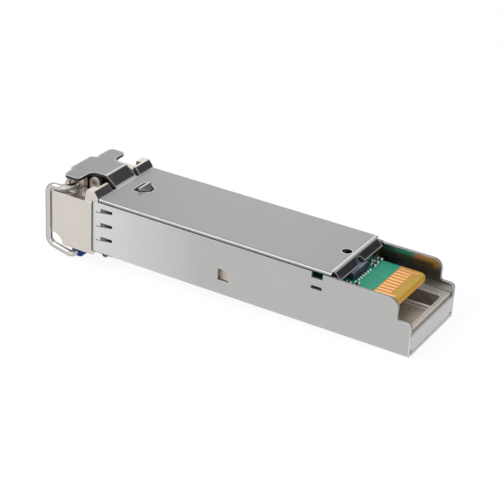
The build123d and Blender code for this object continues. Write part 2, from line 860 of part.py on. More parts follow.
with BuildPart() as contact_pads_top:
    add(pad_row(Plane.XY.offset(board_top)))
    extrude(amount=pad_thickness)
contact_pads_top.part.label = "contact_pads_top"
export_step(contact_pads_top.part, "parts/contact_pads_top.step")

with BuildPart() as contact_pads_bottom:
    add(pad_row(Plane.XY.offset(board_bottom)))
    extrude(amount=-pad_thickness)
contact_pads_bottom.part.label = "contact_pads_bottom"
export_step(contact_pads_bottom.part, "parts/contact_pads_bottom.step")

# Optical barrels, each with split sleeve, stub, diode can, lead pins and flex circuit
sleeve_front = nozzle_front + lip_length
stub_front = sleeve_front + sleeve_length
can_rear = barrel_rear + can_length
header_rear = can_rear + header_length
flex_x = header_rear + flex_gap
for side, name in zip(port_sides, ("transmitter", "receiver")):
    port_y = side * port_pitch / 2
    with BuildPart() as barrel:
        with BuildSketch(Plane.YZ.offset(nozzle_front)):
            with Locations((port_y, port_z)):
                Circle(nozzle_radius)
        extrude(amount=barrel_step - nozzle_front)
        chamfer(barrel.faces().sort_by(Axis.X)[0].edges(), 0.2)
        with BuildSketch(Plane.YZ.offset(barrel_step)):
            with Locations((port_y, port_z)):
                Circle(barrel_radius)
        extrude(amount=barrel_rear - barrel_step)
        with BuildSketch(Plane.YZ.offset(nozzle_front)):
            with Locations((port_y, port_z)):
                Circle(ferrule_radius)
        extrude(amount=lip_length, mode=Mode.SUBTRACT)
        with BuildSketch(Plane.YZ.offset(sleeve_front)):
            with Locations((port_y, port_z)):
                Circle(sleeve_radius)
        extrude(amount=sleeve_length + stub_length, mode=Mode.SUBTRACT)
        with BuildSketch(Plane.YZ.offset(stub_front + stub_length)):
            with Locations((port_y, port_z)):
                Circle(aperture_radius)
        extrude(amount=barrel_rear - stub_front - stub_length, mode=Mode.SUBTRACT)
    barrel.part.label = f"{name}_barrel"
    export_step(barrel.part, f"parts/{name}_barrel.step")

    with BuildPart() as sleeve:
        with BuildSketch(Plane.YZ.offset(sleeve_front)):
            with Locations((port_y, port_z)):
                Circle(sleeve_radius)
                Circle(ferrule_radius, mode=Mode.SUBTRACT)
            with Locations((port_y, port_z + sleeve_radius)):
                Rectangle(sleeve_slit, sleeve_radius, mode=Mode.SUBTRACT)
        extrude(amount=sleeve_length)
    sleeve.part.label = f"{name}_sleeve"
    export_step(sleeve.part, f"parts/{name}_sleeve.step")

    with BuildPart() as stub:
        with BuildSketch(Plane.YZ.offset(stub_front)):
            with Locations((port_y, port_z)):
                Circle(sleeve_radius)
        extrude(amount=stub_length)
    stub.part.label = f"{name}_stub"
    export_step(stub.part, f"parts/{name}_stub.step")

    with BuildPart() as can:
        with BuildSketch(Plane.YZ.offset(barrel_rear)):
            with Locations((port_y, port_z)):
                Circle(can_radius)
        extrude(amount=can_length)
        with BuildSketch(Plane.YZ.offset(can_rear)):
            with Locations((port_y, port_z)):
                Circle(header_radius)
        extrude(amount=header_length)
        chamfer(can.faces().sort_by(Axis.X)[0].edges(), 0.2)
    can.part.label = f"{name}_can"
    export_step(can.part, f"parts/{name}_can.step")

    with BuildPart() as pins:
        with BuildSketch(Plane.YZ.offset(header_rear)):
            with Locations((port_y, port_z)):
                with PolarLocations(lead_circle, lead_count, start_angle=45):
                    RegularPolygon(lead_radius, lead_sides)
        extrude(amount=lead_length)
    pins.part.label = f"{name}_pins"
    export_step(pins.part, f"parts/{name}_pins.step")

    with BuildPart() as flex:
        with BuildSketch(Plane.XZ.offset(-port_y)):
            strip(
                [
                    (flex_x, flex_bottom),
                    (flex_x, board_top + flex_thickness / 2),
                    (board_front + flex_landing, board_top + flex_thickness / 2),
                ],
                [0.5],
                flex_thickness,
            )
        extrude(amount=flex_half_width, both=True)
        with BuildSketch(Plane.YZ.offset(flex_x - flex_thickness)):
            with Locations((port_y, port_z)):
                with PolarLocations(lead_circle, lead_count, start_angle=45):
                    RegularPolygon(lead_radius + barrel_clearance, lead_sides)
        extrude(amount=2 * flex_thickness, mode=Mode.SUBTRACT)
    flex.part.label = f"{name}_flex"
    export_step(flex.part, f"parts/{name}_flex.step")

# Clamp plate behind the nose insert that holds both barrels
with BuildPart() as optics_clamp:
    with BuildSketch(Plane.YZ.offset(insert_rear)):
        with Locations((0, sheet)):
            Rectangle(
                port_pitch + 2 * (barrel_radius + clamp_rim),
                clamp_top - sheet,
                align=(Align.CENTER, Align.MIN),
            )
        with GridLocations(port_pitch, 0, 2, 1):
            with Locations((0, port_z)):
                Circle(barrel_radius, mode=Mode.SUBTRACT)
    extrude(amount=clamp_thickness)
optics_clamp.part.label = "optics_clamp"
export_step(optics_clamp.part, "parts/optics_clamp.step")

# Laser driver under the cover's lip, with its two rows of leads
driver_x, driver_y = driver_centre
driver_length, driver_width, driver_height = driver_size
with BuildPart() as laser_driver:
    with BuildSketch(Plane.XY.offset(board_top + driver_standoff)):
        with Locations(driver_centre):
            Rectangle(driver_length, driver_width)
    extrude(amount=driver_height)
    chamfer(laser_driver.faces().sort_by(Axis.Z)[-1].edges(), 0.1)
laser_driver.part.label = "laser_driver"
export_step(laser_driver.part, "parts/laser_driver.step")

lead_reach, lead_width, lead_height = driver_lead
with BuildPart() as driver_leads:
    with BuildSketch(Plane.XY.offset(board_top)):
        with Locations(driver_centre):
            with GridLocations(driver_length + lead_reach, driver_lead_pitch, 2, driver_lead_count):
                Rectangle(lead_reach, lead_width)
    extrude(amount=lead_height)
driver_leads.part.label = "driver_leads"
export_step(driver_leads.part, "parts/driver_leads.step")

# Flat packages on the board's two faces
packages = (
    ("controller_chip", controller_centre, controller_size, board_top, 1),
    ("amplifier_chip", amplifier_centre, amplifier_size, board_top, 1),
    ("memory_chip", memory_centre, memory_size, board_bottom, -1),
)
for name, centre, size, face_z, direction in packages:
    with BuildPart() as package:
        with BuildSketch(Plane.XY.offset(face_z)):
            with Locations(centre):
                Rectangle(size[0], size[1])
        extrude(amount=direction * size[2])
        chamfer(package.faces().sort_by(Axis.Z)[-1 if direction > 0 else 0].edges(), 0.1)
    package.part.label = name
    export_step(package.part, f"parts/{name}.step")

# Soft pad that carries the controller's heat to the cover
with BuildPart() as thermal_pad:
    with BuildSketch(Plane.XY.offset(board_top + controller_size[2])):
        with Locations(controller_centre):
            Rectangle(controller_size[0] - 0.6, controller_size[1] - 0.6)
    extrude(amount=cover_bottom - board_top - controller_size[2])
thermal_pad.part.label = "thermal_pad"
export_step(thermal_pad.part, "parts/thermal_pad.step")

# Small capacitors and resistors
top_passives = [(35.0, 4.2), (35.0, 3.1), (35.1, 2.1), (34.1, 3.1), (35.6, -3.5), (34.6, -4.0), (20.6, 3.4), (20.6, 2.4)]
bottom_passives = [(26.6, 2.0), (26.6, 1.0), (26.6, -1.0), (17.5, 1.5), (17.5, -1.5)]
for name, spots, face_z, direction in (
    ("chip_passives_top", top_passives, board_top, 1),
    ("chip_passives_bottom", bottom_passives, board_bottom, -1),
):
    with BuildPart() as passives:
        with BuildSketch(Plane.XY.offset(face_z)):
            with Locations(*spots):
                Rectangle(passive_size[0], passive_size[1])
        extrude(amount=direction * passive_size[2])
    passives.part.label = name
    export_step(passives.part, f"parts/{name}.step")
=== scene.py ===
"""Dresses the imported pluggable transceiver: finishes for its solids, and pieces with finer shapes."""

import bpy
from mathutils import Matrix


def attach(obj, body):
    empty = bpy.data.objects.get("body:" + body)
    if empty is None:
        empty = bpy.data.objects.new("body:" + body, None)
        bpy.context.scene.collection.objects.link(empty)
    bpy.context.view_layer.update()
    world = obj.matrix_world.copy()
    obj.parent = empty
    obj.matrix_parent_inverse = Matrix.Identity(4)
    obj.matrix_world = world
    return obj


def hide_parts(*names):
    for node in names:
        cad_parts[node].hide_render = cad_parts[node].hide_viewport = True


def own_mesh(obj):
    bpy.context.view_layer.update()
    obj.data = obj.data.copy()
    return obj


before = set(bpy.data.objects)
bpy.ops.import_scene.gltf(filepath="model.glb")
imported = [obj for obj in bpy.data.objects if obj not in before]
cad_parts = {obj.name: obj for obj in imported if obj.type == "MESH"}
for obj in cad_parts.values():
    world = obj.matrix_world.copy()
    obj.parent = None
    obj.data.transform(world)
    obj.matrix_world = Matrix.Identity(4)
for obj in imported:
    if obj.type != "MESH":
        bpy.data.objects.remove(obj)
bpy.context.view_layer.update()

import math

import bpy
from mathutils import Matrix, Vector

bl_info = {
    "name": "Pluggable Transceiver Dressing",
    "version": (1, 0, 0),
    "blender": (4, 5, 0),
    "location": "3D View > Sidebar > Transceiver",
    "description": "Finishes and fine pieces for a small pluggable optical transceiver",
    "category": "Object",
}

MM = 0.001

# Return spring of the rocker: place, size, turns, and the heights of its seat and its top
COIL_X = -1.5 * MM
COIL_RADIUS = 0.58 * MM
COIL_WIRE = 0.1 * MM
COIL_TURNS = 4
COIL_SEAT = 4.61 * MM
COIL_TOP = 7.39 * MM

# Ground fingers, in millimetres: their middles along Y, edge view as (x, z), bends and the joining strip
FINGER_MIDDLES = (-5.3, 0.0, 5.3)
FINGER_LINE = ((0.2, 0.475), (-0.65, 0.475), (-2.2, -0.72), (-3.1, 0.15))
FINGER_BENDS = (0.3, 0.35)
FINGER_WIDTH = 1.5
FINGER_SHEET = 0.15
STRIP_CENTRE = (0.825, 0, 0.475)
STRIP_SIZE = (1.95, 12.1, FINGER_SHEET)

# Bail wire's middle line, in millimetres
AXLE_X, AXLE_Z = -8.45, 8.2
CRANK_OFFSET = 0.2
CRANK_ANGLE = math.radians(40)
CRANK_HALF = 1.7
CRANK_START = 2.6
ARM_Y = 6.42
LEG_X = -11.55
LEG_FOOT_Z = -0.75
CROSSBAR_X, CROSSBAR_Z = -7.6, -1.6
BUTT_HALF = 0.15

# Board, in millimetres
BOARD_TOP, BOARD_BOTTOM = 6.25, 5.25
MASK_END = 38.0
PADS_FRONT = 40.2
LEAD_COUNT = 6
LEAD_PITCH = 0.65
LEAD_TOES = (35.22, -0.7)
DROP_RADIUS = 0.17 * MM
CAP_SIZE = (0.2 * MM, 0.4 * MM, 0.4 * MM)
CAP_REACH = 0.26
CAP_RISE = 0.19

# Places of the small capacitors and resistors on both faces of the board, in millimetres
TOP_PASSIVES = (
    (35.0, 4.2), (35.0, 3.1), (35.1, 2.1), (34.1, 3.1), (35.6, -3.5), (34.6, -4.0), (20.6, 3.4), (20.6, 2.4)
)
BOTTOM_PASSIVES = ((26.6, 2.0), (26.6, 1.0), (26.6, -1.0), (17.5, 1.5), (17.5, -1.5))

# Stage: what the module rests on, the white of the floor, and the dark card's place and size in metres
REAR_X = 45 * MM
GRIP_DEPTH, REST_SPAN = 2.43, 52.6
FLOOR_GAP = 0.00002
FLOOR_GLOW, FLOOR_SHARE = 1.06, 0.85
CARD_WAY = (0.39, 0.81, 0.46)
CARD_DISTANCE = 0.6
CARD_SIZE = (0.86, 0.46, 1)

# Soft lights: direction, distance and size in metres, and power in watts
LAMPS = (
    ("key", (-0.434, -0.462, 0.774), 0.62, 0.34, 1.15),
    ("fill", (0.5, -0.8, 0.35), 0.9, 0.5, 0.5),
    ("rear", (-0.3, 0.9, 0.5), 0.9, 0.5, 0.35),
)
LAMP_AIM = (17 * MM, 0, 4 * MM)

# Camera fitted to the photograph: degrees, metres, and millimetres of lens
CAMERA_AZIMUTH, CAMERA_ELEVATION, CAMERA_ROLL = 29.312, 27.512, 3.241
CAMERA_AIM = (17 * MM, 0, 4.25 * MM)
CAMERA_RIGHT, CAMERA_DOWN = 0.479 * MM, 0.240 * MM
CAMERA_DISTANCE = 213.09 * MM
CAMERA_LENS, CAMERA_SENSOR = 112.93, 36.0


def colour(name, words, value):
    """A colour that a user may change."""
    return bpy.props.FloatVectorProperty(
        name=name, description=words, subtype="COLOR", size=3, min=0.0, max=1.0, default=value
    )


def length(name, words, value):
    """A length in metres that a user may change."""
    return bpy.props.FloatProperty(
        name=name, description=words, unit="LENGTH", subtype="DISTANCE", default=value, min=0.0, precision=5
    )


class FinishSettings(bpy.types.PropertyGroup):
    """Colours of the transceiver's finishes."""

    # The cover's steel is the shell's plated sheet given a darker colour: painted shade.
    cover_steel_shaded: colour("Cover steel", "Plated sheet of the top cover", (0.289, 0.289, 0.286))
    side_steel: colour("Side steel", "Plated sheet of the lower shell", (0.475, 0.472, 0.466))
    nose_zinc: colour("Nose zinc", "Tumbled casting of the nose", (0.66, 0.615, 0.565))
    tray_metal: colour("Tray metal", "Blasted casting under the board", (0.56, 0.53, 0.50))
    wire_steel: colour("Wire steel", "Polished wire of the bail", (0.55, 0.54, 0.52))
    grip_blue: colour("Grip blue", "Moulded sleeve on the bail", (0.003, 0.04, 0.27))
    mask_green: colour("Mask green", "Solder mask of the board", (0.002, 0.33, 0.20))
    laminate: colour("Laminate", "Bare laminate at the card edge", (0.66, 0.40, 0.055))
    pad_gold: colour("Pad gold", "Plating of the contact pads", (0.70, 0.375, 0.14))
    chip_black: colour("Chip package", "Moulded chip packages", (0.035, 0.045, 0.075))
    zirconia: colour("Zirconia", "Ceramic sleeves and stubs", (0.85, 0.85, 0.80))
    flex_amber: colour("Flex amber", "Film of the flex circuits", (0.30, 0.13, 0.02))


class SizeSettings(bpy.types.PropertyGroup):
    """Sizes of the pieces that are modelled here."""

    wire_radius: length("Wire radius", "Radius of the bail's wire", 0.475 * MM)
    axle_bend: length("Axle bend", "Bend radius between the arm and the axle", 1.9 * MM)
    leg_bend: length("Leg bend", "Bend radius at both ends of a leg", 1.1 * MM)
    crossbar_bend: length("Crossbar bend", "Bend radius beside the grip", 0.6 * MM)
    crank_bend: length("Crank bend", "Bend radius of the crank under the rocker", 0.9 * MM)
    grip_width: length("Grip width", "Front to back size of the grip", 1.8 * MM)
    grip_height: length("Grip height", "Height of the grip", 1.6 * MM)
    grip_length: length("Grip length", "Length of the grip along the crossbar", 10.9 * MM)
    grip_radius: length("Grip radius", "Corner radius of the grip", 0.45 * MM)
    solder_height: length("Solder height", "Height of the solder drops on the leads", 0.2 * MM)


# Tools for meshes


def deselect():
    """Leave nothing selected."""
    bpy.ops.object.select_all(action="DESELECT")


def pick(obj):
    """Select one object and make it active."""
    deselect()
    obj.select_set(True)
    bpy.context.view_layer.objects.active = obj


def settle(obj):
    """Put the object's place into its mesh."""
    pick(obj)
    bpy.ops.object.transform_apply(location=True, rotation=True, scale=True)


def finish(obj, name, body, material, smooth=30.0):
    """Name a piece, give it its finish and let it ride on its body."""
    obj.name = name
    obj.data.name = name
    settle(obj)
    bpy.ops.object.shade_smooth_by_angle(angle=math.radians(smooth))
    obj.data.materials.clear()
    obj.data.materials.append(material)
    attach(obj, body)
    return obj


def open_mesh():
    """Edit the active mesh with all of it selected."""
    bpy.ops.object.mode_set(mode="EDIT")
    bpy.ops.mesh.select_all(action="SELECT")


def close_mesh():
    """Leave the editing of a mesh."""
    bpy.ops.object.mode_set(mode="OBJECT")


def bake_modifiers(obj):
    """Apply all modifiers in order."""
    pick(obj)
    for modifier in list(obj.modifiers):
        bpy.ops.object.modifier_apply(modifier=modifier.name)


def join(pieces):
    """Join meshes into the first."""
    deselect()
    for piece in pieces:
        piece.select_set(True)
    bpy.context.view_layer.objects.active = pieces[0]
    bpy.ops.object.join()
    return pieces[0]


def rounded_block(centre, size, radius, segments=3):
    """A block with rounded edges, centred at a place, in metres."""
    deselect()
    bpy.ops.mesh.primitive_cube_add(size=1.0, location=centre)
    block = bpy.context.active_object
    block.scale = size
    settle(block)
    bevel = block.modifiers.new("edge", "BEVEL")
    bevel.width = radius
    bevel.segments = segments
    bevel.limit_method = "ANGLE"
    bake_modifiers(block)
    return block


def bent_line(points, bends):
    """A line of edges through points, with its corners bent to the given radii."""
    deselect()
    bpy.ops.mesh.primitive_plane_add(size=1.0)
    line = bpy.context.active_object
    open_mesh()
    bpy.ops.mesh.merge(type="CENTER")
    bpy.ops.transform.translate(value=points[0])
    for start, end in zip(points, points[1:]):
        step = Vector(end) - Vector(start)
        bpy.ops.mesh.extrude_region_move(TRANSFORM_OT_translate={"value": step})
    for before, corner, after, bend in zip(points, points[1:], points[2:], bends):
        turn = (Vector(corner) - Vector(before)).angle(Vector(after) - Vector(corner))
        bpy.ops.mesh.select_all(action="DESELECT")
        close_mesh()
        for vertex in line.data.vertices:
            vertex.select = (vertex.co - Vector(corner)).length < 1e-6
        bpy.ops.object.mode_set(mode="EDIT")
        reach = bend * math.tan(turn / 2)
        bpy.ops.mesh.bevel(
            affect="VERTICES", offset_type="OFFSET", offset=reach, segments=12, clamp_overlap=True
        )
    close_mesh()
    return line


def leaf_through(points, bends, width, thickness):
    """A bent strip of sheet along a line of points, which reaches from there along Y, as one mesh."""
    leaf = bent_line(points, bends)
    open_mesh()
    bpy.ops.mesh.extrude_region_move(TRANSFORM_OT_translate={"value": (0, width, 0)})
    close_mesh()
    wall = leaf.modifiers.new("sheet", "SOLIDIFY")
    wall.thickness = thickness
    wall.offset = 0.0
    edge = leaf.modifiers.new("edge", "BEVEL")
    edge.width = thickness * 0.2
    edge.segments = 2
    edge.limit_method = "ANGLE"
    edge.angle_limit = math.radians(50)
    bake_modifiers(leaf)
    open_mesh()
    bpy.ops.mesh.normals_make_consistent(inside=False)
    close_mesh()
    return leaf


def wire_through(points, bends, radius):
    """A round wire along a line of points whose corners are bent to the given radii, as one mesh."""
    line = bent_line(points, bends)
    pick(line)
    bpy.ops.object.convert(target="CURVE")
    wire = bpy.context.active_object
    wire.data.bevel_depth = radius
    wire.data.bevel_resolution = 8
    wire.data.use_fill_caps = True
    bpy.ops.object.convert(target="MESH")
    return bpy.context.active_object


# Shader groups used by several finishes


def new_group(name, inputs, outputs):
    """An empty shader group with named sockets."""
    tree = bpy.data.node_groups.new(name, "ShaderNodeTree")
    for label, kind, value in inputs:
        socket = tree.interface.new_socket(label, in_out="INPUT", socket_type=kind)
        socket.default_value = value
    for label, kind in outputs:
        tree.interface.new_socket(label, in_out="OUTPUT", socket_type=kind)
    return tree, tree.nodes.new("NodeGroupInput"), tree.nodes.new("NodeGroupOutput")


def noise(tree, vector, scale, detail=3.0, rough=0.5):
    """A noise texture node on a vector."""
    node = tree.nodes.new("ShaderNodeTexNoise")
    node.inputs["Scale"].default_value = scale
    node.inputs["Detail"].default_value = detail
    node.inputs["Roughness"].default_value = rough
    if vector is not None:
        tree.links.new(vector, node.inputs["Vector"])
    return node


def math_node(tree, operation, first, second, clamp=False):
    """A math node; each side is a socket or a number."""
    node = tree.nodes.new("ShaderNodeMath")
    node.operation = operation
    node.use_clamp = clamp
    for place, value in enumerate((first, second)):
        if isinstance(value, (int, float)):
            node.inputs[place].default_value = value
        else:
            tree.links.new(value, node.inputs[place])
    return node.outputs[0]


def swing(tree, value, amount):
    """How far a value lies from one half, times an amount."""
    return math_node(tree, "MULTIPLY", math_node(tree, "SUBTRACT", value, 0.5), amount)


def rest(tree, value):
    """One less a value."""
    return math_node(tree, "SUBTRACT", 1.0, value)


def spread(tree, value, low, high, to_low, to_high):
    """Map a range of values onto another."""
    node = tree.nodes.new("ShaderNodeMapRange")
    tree.links.new(value, node.inputs["Value"])
    for name, number in (("From Min", low), ("From Max", high), ("To Min", to_low), ("To Max", to_high)):
        socket = node.inputs[name]
        if isinstance(number, (int, float)):
            socket.default_value = number
        else:
            tree.links.new(number, socket)
    return node.outputs["Result"]


def blend(tree, factor, first, second, kind="MIX"):
    """Mix two colours; each is a socket or a colour."""
    node = tree.nodes.new("ShaderNodeMix")
    node.data_type = "RGBA"
    node.blend_type = kind
    for socket, value in ((node.inputs[0], factor), (node.inputs[6], first), (node.inputs[7], second)):
        if isinstance(value, (int, float)):
            socket.default_value = value
        elif isinstance(value, tuple):
            socket.default_value = (*value, 1.0)
        else:
            tree.links.new(value, socket)
    return node.outputs[2]


def grain_group():
    """Directional grain: fine streaks along X that change colour, roughness and height."""
    if "rolled_grain" in bpy.data.node_groups:
        return bpy.data.node_groups["rolled_grain"]
    tree, inside, outside = new_group(
        "rolled_grain",
        (
            ("Vector", "NodeSocketVector", (0, 0, 0)),
            ("Streak", "NodeSocketFloat", 0.5),
            ("Cloud", "NodeSocketFloat", 0.5),
        ),
        (("Tone", "NodeSocketFloat"), ("Height", "NodeSocketFloat")),
    )
    squeeze = tree.nodes.new("ShaderNodeMapping")
    squeeze.inputs["Scale"].default_value = (60.0, 2600.0, 2600.0)
    tree.links.new(inside.outputs["Vector"], squeeze.inputs["Vector"])
    streaks = noise(tree, squeeze.outputs["Vector"], 1.0, 4.0, 0.6)
    clouds = noise(tree, inside.outputs["Vector"], 260.0, 4.0, 0.55)
    specks = noise(tree, inside.outputs["Vector"], 5200.0, 2.0, 0.5)
    streak = swing(tree, streaks.outputs[0], inside.outputs["Streak"])
    cloud = swing(tree, clouds.outputs[0], inside.outputs["Cloud"])
    tone = math_node(tree, "ADD", streak, cloud)
    tree.links.new(math_node(tree, "ADD", tone, 0.5), outside.inputs["Tone"])
    fine = math_node(tree, "ADD", math_node(tree, "MULTIPLY", specks.outputs[0], 0.5), streak)
    tree.links.new(fine, outside.inputs["Height"])
    return tree


def cast_group():
    """Skin of a tumbled casting: pebbles, soft dents and cloudy tone."""
    if "cast_skin" in bpy.data.node_groups:
        return bpy.data.node_groups["cast_skin"]
    tree, inside, outside = new_group(
        "cast_skin",
        (
            ("Vector", "NodeSocketVector", (0, 0, 0)),
            ("Pebble", "NodeSocketFloat", 3000.0),
            ("Cloud", "NodeSocketFloat", 0.5),
        ),
        (("Tone", "NodeSocketFloat"), ("Height", "NodeSocketFloat")),
    )
    pebbles = noise(tree, inside.outputs["Vector"], 3000.0, 3.0, 0.55)
    tree.links.new(inside.outputs["Pebble"], pebbles.inputs["Scale"])
    dents = noise(tree, inside.outputs["Vector"], 420.0, 2.0, 0.5)
    clouds = noise(tree, inside.outputs["Vector"], 190.0, 4.0, 0.6)
    cloud = swing(tree, clouds.outputs[0], inside.outputs["Cloud"])
    tree.links.new(math_node(tree, "ADD", cloud, 0.5), outside.inputs["Tone"])
    height = math_node(tree, "ADD", pebbles.outputs[0], math_node(tree, "MULTIPLY", dents.outputs[0], 0.8))
    tree.links.new(height, outside.inputs["Height"])
    return tree


def highlight_group():
    """Mask for painted edge highlights: one along a sharp edge, zero away from it."""
    if "painted_edge_highlight" in bpy.data.node_groups:
        return bpy.data.node_groups["painted_edge_highlight"]
    tree, inside, outside = new_group(
        "painted_edge_highlight",
        (("Radius", "NodeSocketFloat", 0.0002), ("Vector", "NodeSocketVector", (0, 0, 0))),
        (("Edge", "NodeSocketFloat"),),
    )
    soft = tree.nodes.new("ShaderNodeBevel")
    soft.samples = 8
    tree.links.new(inside.outputs["Radius"], soft.inputs["Radius"])
    plain = tree.nodes.new("ShaderNodeNewGeometry")
    same = tree.nodes.new("ShaderNodeVectorMath")
    same.operation = "DOT_PRODUCT"
    tree.links.new(soft.outputs["Normal"], same.inputs[0])
    tree.links.new(plain.outputs["Normal"], same.inputs[1])
    tree.links.new(spread(tree, same.outputs["Value"], 0.998, 0.97, 0.0, 1.0), outside.inputs["Edge"])
    return tree


# Finishes


def start_material(name):
    """A material with its shader and Object coordinates."""
    material = bpy.data.materials.new(name)
    material.use_nodes = True
    tree = material.node_tree
    shader = tree.nodes["Principled BSDF"]
    place = tree.nodes.new("ShaderNodeTexCoord")
    return material, tree, shader, place.outputs["Object"]


def place_group(tree, group, vector, **values):
    """Put a shader group into a material with its own values."""
    node = tree.nodes.new("ShaderNodeGroup")
    node.node_tree = group
    tree.links.new(vector, node.inputs["Vector"])
    for label, value in values.items():
        node.inputs[label].default_value = value
    return node


def edge_normal(tree, radius):
    """Rounded normals at a solid's sharp edges."""
    node = tree.nodes.new("ShaderNodeBevel")
    node.samples = 6
    node.inputs["Radius"].default_value = radius
    return node.outputs["Normal"]


def bump(tree, height, strength, distance, normal=None):
    """A bump node fed by a height."""
    node = tree.nodes.new("ShaderNodeBump")
    node.inputs["Strength"].default_value = strength
    node.inputs["Distance"].default_value = distance
    tree.links.new(height, node.inputs["Height"])
    if normal is not None:
        tree.links.new(normal, node.inputs["Normal"])
    return node.outputs["Normal"]


def facing(tree):
    """How far a surface faces along X, Y and Z, as three sockets."""
    surface = tree.nodes.new("ShaderNodeNewGeometry")
    split = tree.nodes.new("ShaderNodeSeparateXYZ")
    tree.links.new(surface.outputs["Normal"], split.inputs[0])
    return split.outputs["X"], split.outputs["Y"], split.outputs["Z"]


def product(tree, *values):
    """All values multiplied."""
    result = values[0]
    for value in values[1:]:
        result = math_node(tree, "MULTIPLY", result, value)
    return result


def split_place(tree, vector):
    """The three parts of a place."""
    split = tree.nodes.new("ShaderNodeSeparateXYZ")
    tree.links.new(vector, split.inputs[0])
    return split.outputs["X"], split.outputs["Y"], split.outputs["Z"]


def band(tree, place, low, high, ramp):
    """One between two places, in millimetres, with soft ends."""
    rise = spread(tree, place, (low - ramp) * MM, low * MM, 0.0, 1.0)
    fall = spread(tree, place, high * MM, (high + ramp) * MM, 1.0, 0.0)
    return math_node(tree, "MULTIPLY", rise, fall)


def shell_shade(tree, vector):
    """Lower shell: tone with painted light and shade, roughness, and painted edge highlights.

    It is lighter towards the nose (painted light), dark in the gills and at the joint with the nose (painted
    shade) and on the cut tops of the walls, smoother inside, and painted with highlights at the rear flange.
    """
    x, y, z = split_place(tree, vector)
    across, up = facing(tree)[1:]
    away = math_node(tree, "ABSOLUTE", y, 0.0)
    # Painted light: the side is lighter towards the nose.
    front = spread(tree, x, -3 * MM, 14 * MM, 1.42, 1.0)
    # Painted shade: a soft dark band at the joint with the nose.
    joint = spread(tree, x, -3.85 * MM, -3.45 * MM, 0.55, 1.0)
    # Painted shade in the gills, darker towards their rear ends.
    inside = spread(tree, away, 6.62 * MM, 6.69 * MM, 1.0, 0.0)
    zone = spread(tree, x, -0.5 * MM, -0.42 * MM, 1.0, 0.0)
    depth = spread(tree, x, -3.0 * MM, -0.9 * MM, 0.7, 0.93)
    gill = rest(tree, product(tree, inside, zone, depth))
    level = spread(tree, math_node(tree, "ABSOLUTE", across, 0.0), 0.4, 0.5, 1.0, 0.0)
    cut = product(tree, level, spread(tree, z, 3 * MM, 3.2 * MM, 0.0, 1.0))
    top = spread(tree, cut, 0.0, 1.0, 1.0, 0.6)
    polish = spread(tree, away, 6.35 * MM, 6.5 * MM, 0.65, 1.0)
    # Painted edge highlights, faint along the shell and full at the rear flange.
    rubbed = spread(tree, x, 43.5 * MM, 44.3 * MM, 0.1, 1.0)
    highlight_share = product(tree, rubbed, rest(tree, cut))
    low = spread(tree, z, 0.7 * MM, 0.8 * MM, 0.8, 0.0)
    above_sheet = spread(tree, z, 0.2 * MM, 0.3 * MM, 0.0, 1.0)
    hidden = product(tree, low, above_sheet, spread(tree, away, 6.2 * MM, 6.3 * MM, 1.0, 0.0))
    # The top face of the rear flange is painted lighter and made matt: a painted highlight.
    level_face = spread(tree, up, 0.6, 0.7, 0.0, 1.0)
    flange = product(tree, level_face, spread(tree, x, 44.3 * MM, 44.4 * MM, 0.0, 1.0))
    rim = spread(tree, flange, 0.0, 1.0, 1.0, 1.6)
    matt = math_node(tree, "MAXIMUM", math_node(tree, "MAXIMUM", cut, hidden), flange)
    return product(tree, front, joint, gill, top, rim), polish, highlight_share, matt, 0.0


def cover_shade(tree, vector):
    """Cover: tone, roughness, and painted highlights on its edges and folds.

    The cut edges of the head, tongue and lip are dark with painted shade. The folds, painted with highlights,
    are at both ends of the tongue and at the lip.
    """
    x, y, z = split_place(tree, vector)
    # Painted shade: the cut edges of the raised parts and of the lip are darkened to a fifth.
    level = spread(tree, facing(tree)[2], 0.25, 0.4, 0.0, 1.0)
    raised = spread(tree, z, 8.55 * MM, 8.65 * MM, 0.0, 1.0)
    lip = spread(tree, x, 33.35 * MM, 33.4 * MM, 0.0, 1.0)
    cut = product(tree, math_node(tree, "MAXIMUM", raised, lip), rest(tree, level))
    tongue = spread(tree, math_node(tree, "ABSOLUTE", y, 0.0), 2.5 * MM, 2.9 * MM, 1.0, 0.0)
    # Painted highlights along the folds at both ends of the tongue and at the lip.
    top_fold = band(tree, x, -4.78, -4.58, 0.1)
    foot_fold = band(tree, x, -3.0, -2.7, 0.12)
    clear_of_side = spread(tree, y, -6.3 * MM, -6.2 * MM, 0.0, 1.0)
    lip_fold = product(tree, band(tree, x, 33.1, 33.45, 0.15), clear_of_side)
    tongue_fold = product(tree, tongue, math_node(tree, "MAXIMUM", top_fold, foot_fold))
    fold_highlight = product(tree, math_node(tree, "MAXIMUM", tongue_fold, lip_fold), level, 0.8)
    # Painted highlights on the edges of the faces that look up.
    highlight_share = math_node(tree, "MULTIPLY", level, 0.65)
    return spread(tree, cut, 0.0, 1.0, 1.0, 0.2), 1.0, highlight_share, 0.0, fold_highlight


def paint_edge_highlights(tree, shader, vector, tint, highlight_share, matt, fold_highlight, radius, light):
    """Paint highlights on a metal's sharp edges and folds; make them and its matt parts less of a mirror."""
    edge = place_group(tree, highlight_group(), vector, Radius=radius * MM).outputs["Edge"]
    edge = math_node(tree, "MAXIMUM", math_node(tree, "MULTIPLY", edge, highlight_share), fold_highlight)
    tree.links.new(blend(tree, edge, tint, light), shader.inputs["Base Color"])
    dull = math_node(tree, "MAXIMUM", edge, matt)
    tree.links.new(spread(tree, dull, 0.0, 1.0, 1.0, 0.1), shader.inputs["Metallic"])


def lay_metal(tree, shader, vector, tint, rough, shade, highlight_radius, light):
    """Link a metal's colour and roughness, changed by place where it has a shade function."""
    if shade is None:
        tree.links.new(tint, shader.inputs["Base Color"])
    else:
        # The shade function gives the tone and the shares of the painted edge and fold highlights.
        tone, polish, highlight_share, matt, fold_highlight = shade(tree, vector)
        tint = blend(tree, 1.0, tint, tone, "MULTIPLY")
        rough = math_node(tree, "MULTIPLY", rough, polish)
        paint_edge_highlights(tree, shader, vector, tint, highlight_share, matt, fold_highlight, highlight_radius, light)
    tree.links.new(rough, shader.inputs["Roughness"])


